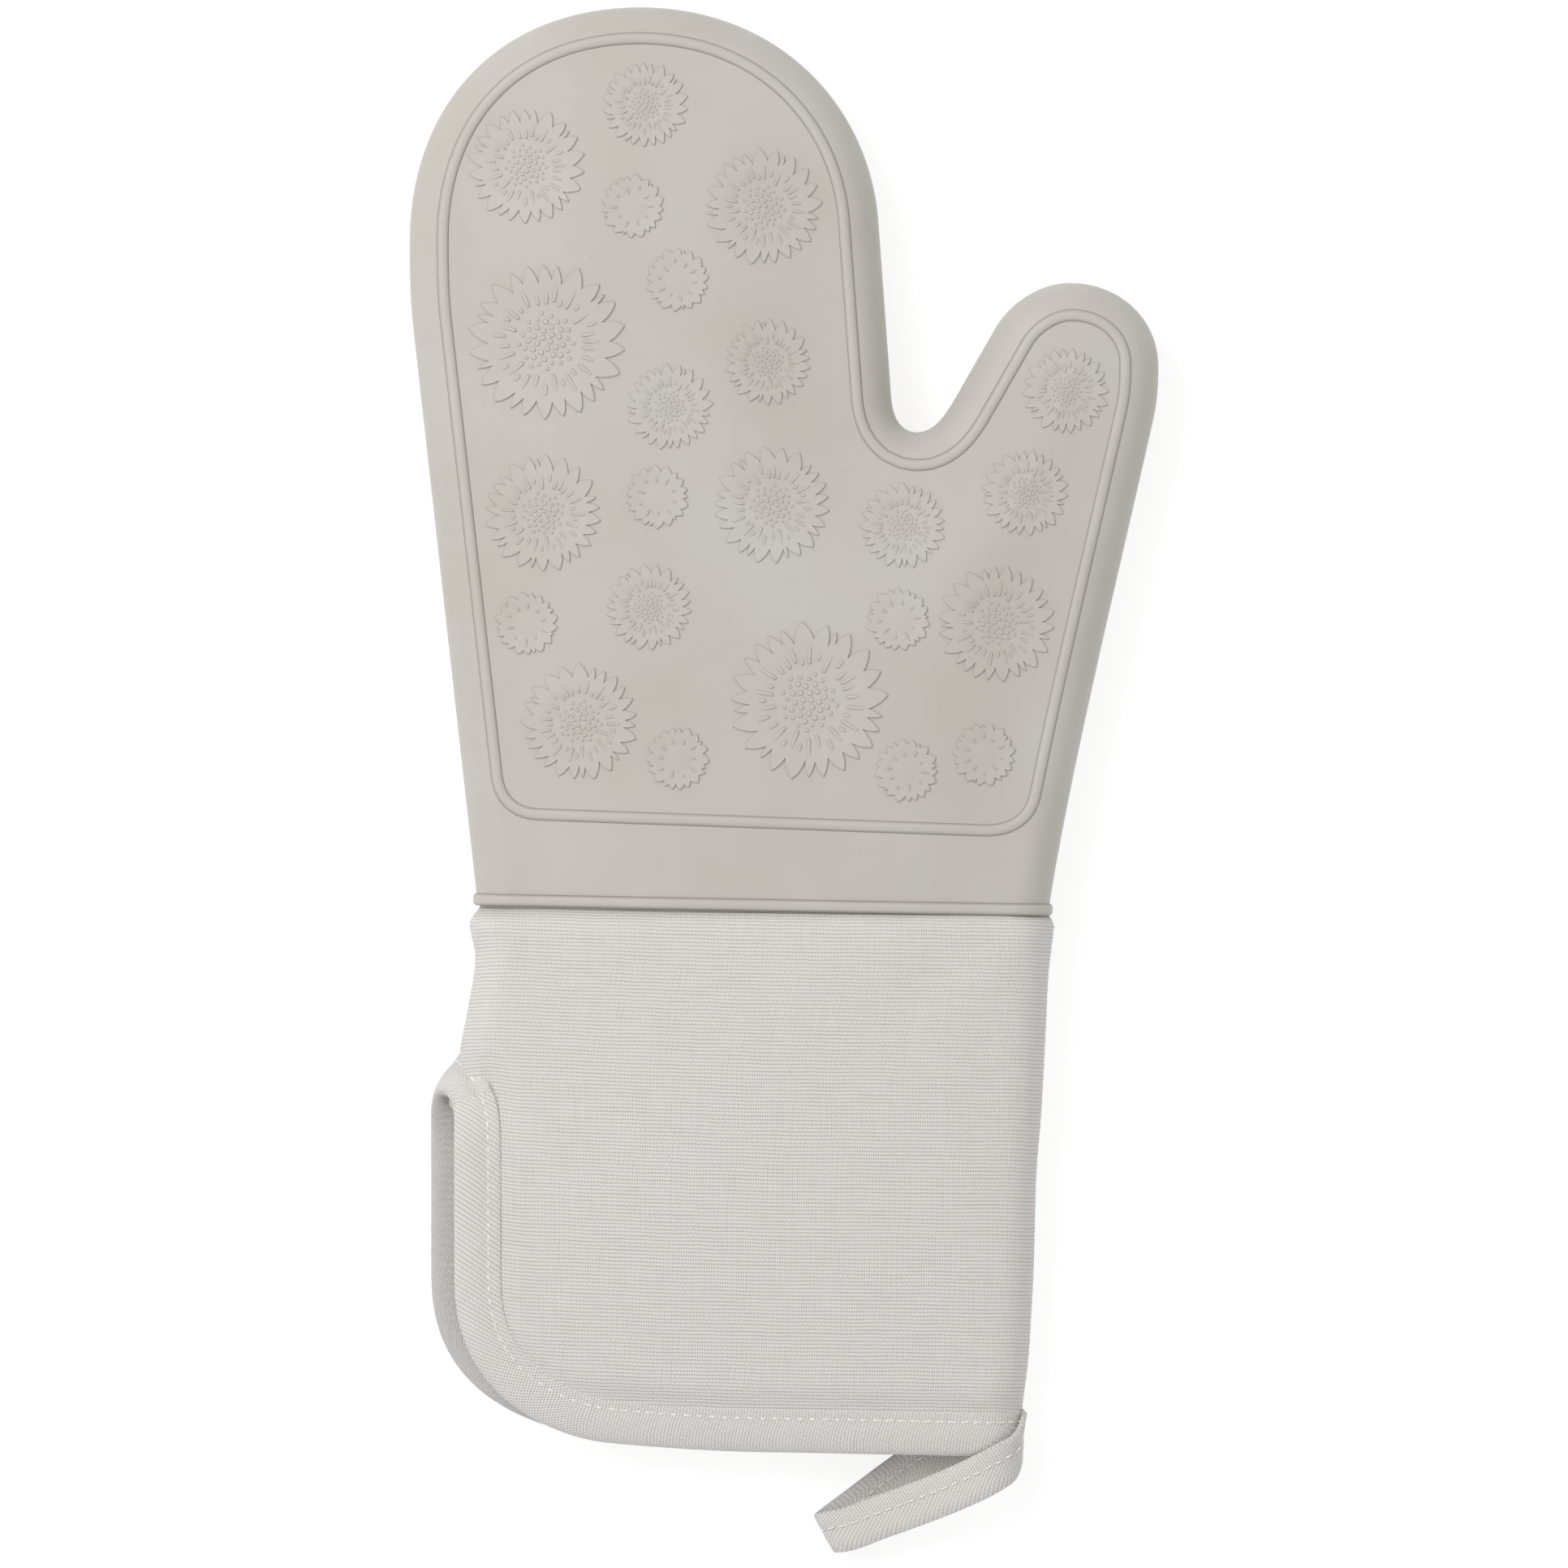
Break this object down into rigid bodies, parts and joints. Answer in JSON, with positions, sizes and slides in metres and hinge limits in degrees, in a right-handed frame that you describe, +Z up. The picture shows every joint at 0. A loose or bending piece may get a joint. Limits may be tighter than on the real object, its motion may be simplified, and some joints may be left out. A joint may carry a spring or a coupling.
{
  "type": "oven mitt",
  "caption": "Silicone oven mitt with a raised flower pattern, a padded lining, a padded fabric cuff slit at one side with bound edges, and a hanging loop at its corner.",
  "frame": {"origin": "on the surface the mitt lies on, under the middle of its box", "axes": "+Y to the fingertips, +X to the thumb side, +Z up out of the palm-side face; the mitt lies on its back-side face"},
  "size_m": [0.1844, 0.3818, 0.027],
  "materials": {
    "silicone": "matt moulded silicone, warm light grey",
    "cover_cloth": "plain-woven cotton, light warm grey",
    "binding_tape": "bias-cut plain-woven cotton tape, light warm grey",
    "lining_cloth": "plain-woven cotton, off-white",
    "batting": "needled polyester wadding, white",
    "sewing_thread": "spun polyester thread, off-white"
  },
  "bodies": {
    "hand": {"silicone_shell": "silicone", "palm_batting": "batting", "back_batting": "batting", "palm_lining": "lining_cloth", "back_lining": "lining_cloth", "lining_seam_thread": "sewing_thread", "rim_thread": "sewing_thread"},
    "cuff": {"cuff_palm_cover": "cover_cloth", "cuff_palm_batting": "batting", "cuff_palm_lining": "lining_cloth", "cuff_back_cover": "cover_cloth", "cuff_back_batting": "batting", "cuff_back_lining": "lining_cloth", "edge_binding": "binding_tape", "binding_stitch_palm": "sewing_thread", "binding_stitch_back": "sewing_thread", "cuff_seam_thumb_side": "sewing_thread", "cuff_seam_slit_side": "sewing_thread", "loop_bartack": "sewing_thread"},
    "loop": {"hanging_loop": "binding_tape", "loop_stitch": "sewing_thread"}
  },
  "joints": [
    {"name": "cuff_fold", "type": "hinge", "parent": "hand", "child": "cuff", "pos_m": [-0.006, -0.055, 0.0135], "axis": [-1, 0, 0], "range_deg": [-60, 60], "stiffness_Nm_per_rad": 0.6, "deforming": ["cuff_palm_cover", "cuff_palm_batting", "cuff_palm_lining", "cuff_back_cover", "cuff_back_batting", "cuff_back_lining", "cuff_seam_thumb_side", "cuff_seam_slit_side"]},
    {"name": "loop_swing", "type": "hinge", "parent": "cuff", "child": "loop", "pos_m": [0.0586, -0.1652, 0.0104], "axis": [-0.401, 0.9161, 0], "range_deg": [-45, 75], "deforming": ["hanging_loop"]}
  ]
}
